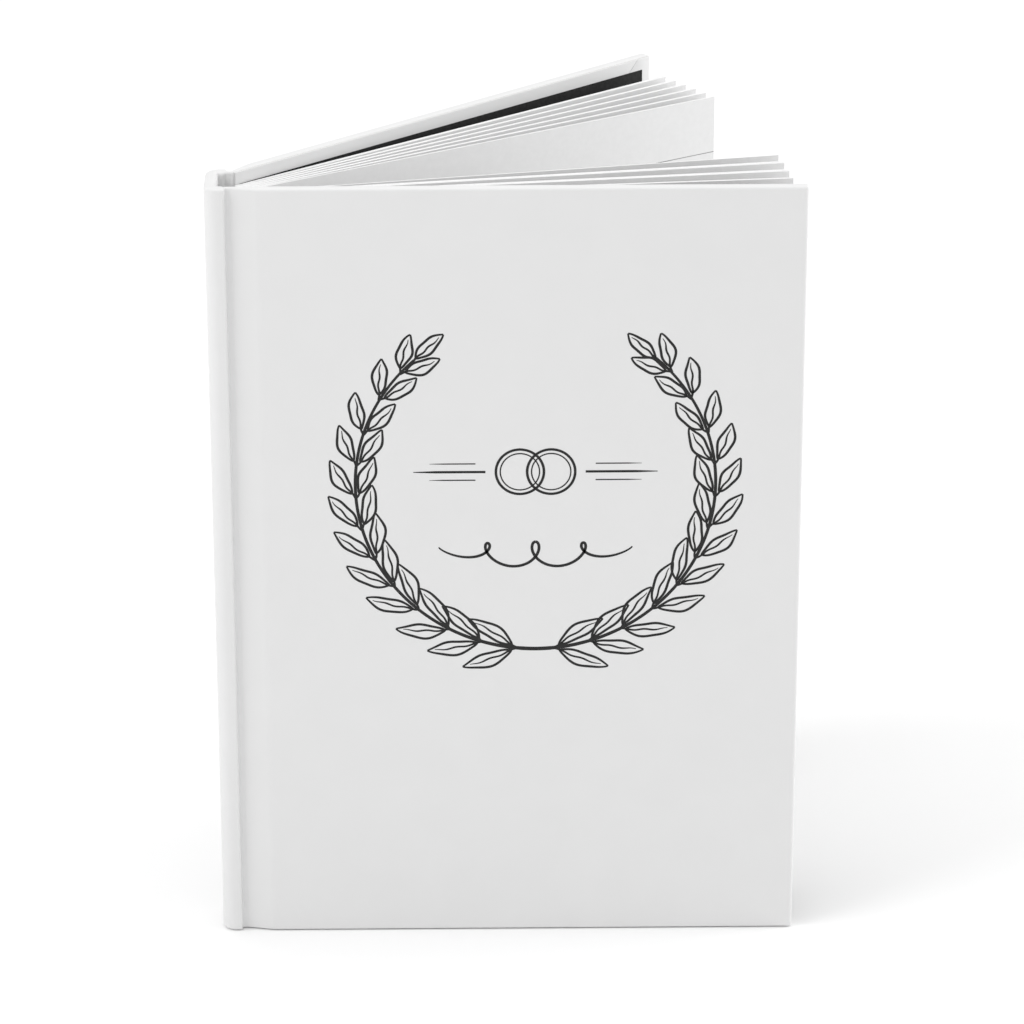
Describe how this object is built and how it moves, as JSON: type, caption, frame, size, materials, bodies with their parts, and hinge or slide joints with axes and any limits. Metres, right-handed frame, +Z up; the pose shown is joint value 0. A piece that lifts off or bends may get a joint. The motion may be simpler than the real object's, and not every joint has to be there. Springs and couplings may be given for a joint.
{
  "type": "guest book",
  "caption": "Casebound wedding guest book standing half open: hinged covers, grooved joints, black endpapers and sewn sections of lined leaves.",
  "frame": {"origin": "middle of the spine's foot, on the plane that the book stands on", "axes": "+Z up along the spine; +X from the spine to the front cover's fore-edge; -Y out of the front cover"},
  "size_m": [0.1477, 0.1088, 0.2032],
  "materials": {
    "laminated_wrap": "matte laminated cover paper, white, with printed line art",
    "greyboard": "raw grey binder's board",
    "infill_card": "raw card",
    "gauze": "open-weave cotton gauze",
    "flyleaf_paper": "uncoated white paper",
    "black_endpaper": "matte black uncoated paper",
    "kraft_lining": "kraft paper",
    "sewing_thread": "waxed thread",
    "page_paper": "smooth uncoated white paper, lined"
  },
  "bodies": {
    "spine": {"spine_board": "greyboard", "spine_wrap": "laminated_wrap", "spine_lining": "kraft_lining"},
    "front_cover": {"front_board": "greyboard", "front_wrap": "laminated_wrap", "front_infill": "infill_card", "front_gauze_flap": "gauze", "front_pastedown": "black_endpaper"},
    "back_cover": {"back_board": "greyboard", "back_wrap": "laminated_wrap", "back_infill": "infill_card", "back_gauze_flap": "gauze", "back_pastedown": "black_endpaper"},
    "pages_front_1": {"front_flyleaf": "flyleaf_paper", "section_01": "page_paper", "front_gauze": "gauze", "front_sewing_thread": "sewing_thread"},
    "pages_front_2": {"section_02": "page_paper", "section_03": "page_paper"},
    "pages_front_3": {"section_04": "page_paper", "section_05": "page_paper"},
    "pages_front_4": {"section_06_front_leaves": "page_paper"},
    "pages_back_1": {"section_11": "page_paper", "back_flyleaf": "flyleaf_paper", "back_gauze": "gauze", "back_sewing_thread": "sewing_thread"},
    "pages_back_2": {"section_10": "page_paper"},
    "pages_back_3": {"section_09": "page_paper"},
    "pages_back_4": {"section_08": "page_paper"},
    "pages_back_5": {"section_07": "page_paper"},
    "pages_back_6": {"section_06_back_leaves": "page_paper"}
  },
  "joints": [
    {"name": "front_cover_hinge", "type": "hinge", "parent": "spine", "child": "front_cover", "pos_m": [0.00485, -0.00575, 0], "axis": [0, 0, -1], "range_deg": [0, 100]},
    {"name": "back_cover_hinge", "type": "hinge", "parent": "spine", "child": "back_cover", "pos_m": [0.00485, 0.00575, 0], "axis": [0, 0, 1], "range_deg": [-41.4, 43.6]},
    {"name": "pages_front_1_turn", "type": "hinge", "parent": "spine", "child": "pages_front_1", "pos_m": [0.00485, -0.0047, 0], "axis": [0, 0, 1], "range_deg": [-5.32, 5.61]},
    {"name": "pages_front_2_turn", "type": "hinge", "parent": "pages_front_1", "child": "pages_front_2", "pos_m": [0.00476, -0.00372, 0], "axis": [0, 0, 1], "range_deg": [-1.93, 2.03]},
    {"name": "pages_front_3_turn", "type": "hinge", "parent": "pages_front_2", "child": "pages_front_3", "pos_m": [0.00455, -0.00208, 0], "axis": [0, 0, 1], "range_deg": [-1.93, 2.03]},
    {"name": "pages_front_4_turn", "type": "hinge", "parent": "pages_front_3", "child": "pages_front_4", "pos_m": [0.00429, -0.00045, 0], "axis": [0, 0, 1], "range_deg": [-1.93, 2.03]},
    {"name": "pages_back_1_turn", "type": "hinge", "parent": "spine", "child": "pages_back_1", "pos_m": [0.00485, 0.00575, 0], "axis": [0, 0, 1], "range_deg": [-38.32, 40.36]},
    {"name": "pages_back_2_turn", "type": "hinge", "parent": "pages_back_1", "child": "pages_back_2", "pos_m": [0.00611, 0.00416, 0], "axis": [0, 0, 1], "range_deg": [-1.5, 1.43]},
    {"name": "pages_back_3_turn", "type": "hinge", "parent": "pages_back_1", "child": "pages_back_3", "pos_m": [0.00662, 0.00351, 0], "axis": [0, 0, 1], "range_deg": [-2.97, 2.82]},
    {"name": "pages_back_4_turn", "type": "hinge", "parent": "pages_back_1", "child": "pages_back_4", "pos_m": [0.00714, 0.00285, 0], "axis": [0, 0, 1], "range_deg": [-4.45, 4.23]},
    {"name": "pages_back_5_turn", "type": "hinge", "parent": "pages_back_1", "child": "pages_back_5", "pos_m": [0.00765, 0.0022, 0], "axis": [0, 0, 1], "range_deg": [-5.92, 5.62]},
    {"name": "pages_back_6_turn", "type": "hinge", "parent": "pages_back_1", "child": "pages_back_6", "pos_m": [0.00816, 0.00156, 0], "axis": [0, 0, 1], "range_deg": [-7.4, 7.03]}
  ],
  "couplings": [
    {"joint": "pages_front_1_turn", "follows": "back_cover_hinge", "ratio": 0.12802},
    {"joint": "pages_front_2_turn", "follows": "back_cover_hinge", "ratio": 0.045894},
    {"joint": "pages_front_3_turn", "follows": "back_cover_hinge", "ratio": 0.045894},
    {"joint": "pages_front_4_turn", "follows": "back_cover_hinge", "ratio": 0.045894},
    {"joint": "pages_back_1_turn", "follows": "back_cover_hinge", "ratio": 0.92512},
    {"joint": "pages_back_2_turn", "follows": "back_cover_hinge", "ratio": -0.033816},
    {"joint": "pages_back_3_turn", "follows": "back_cover_hinge", "ratio": -0.067633},
    {"joint": "pages_back_4_turn", "follows": "back_cover_hinge", "ratio": -0.10145},
    {"joint": "pages_back_5_turn", "follows": "back_cover_hinge", "ratio": -0.13527},
    {"joint": "pages_back_6_turn", "follows": "back_cover_hinge", "ratio": -0.16908}
  ]
}
